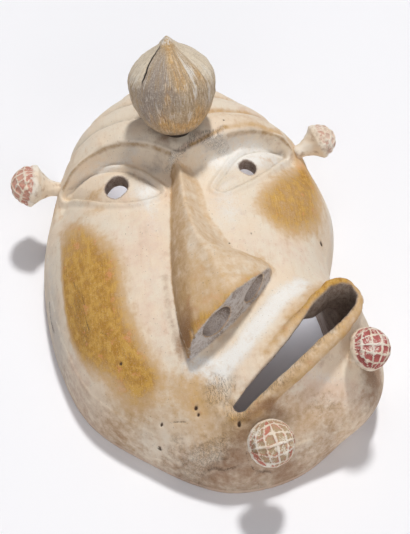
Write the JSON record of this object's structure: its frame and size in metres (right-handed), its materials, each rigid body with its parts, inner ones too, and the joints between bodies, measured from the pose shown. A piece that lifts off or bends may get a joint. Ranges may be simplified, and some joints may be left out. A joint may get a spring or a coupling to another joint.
{
  "type": "wooden mask",
  "caption": "Crooked carved wooden face mask with a wedge nose, slanting open mouth, folded forehead, a bud-shaped knob and tee-shaped studs, hollow and open at the back.",
  "frame": {"origin": "centre of the part's footprint, on the plane of the open back rim", "axes": "+Z out of the face, +Y towards the forehead, +X to the right of someone who looks at the face"},
  "size_m": [0.2514, 0.349, 0.1804],
  "materials": {
    "painted_shell": "worn chalky paint",
    "knob_wood": "streaked and worn",
    "painted_studs": "worn paint with a chequered grid"
  },
  "bodies": {
    "root": {"mask_shell": "painted_shell", "forehead_knob": "knob_wood", "stud_temple_left": "painted_studs", "stud_temple_right": "painted_studs", "stud_jaw_left": "painted_studs", "stud_jaw_right": "painted_studs"}
  },
  "joints": []
}
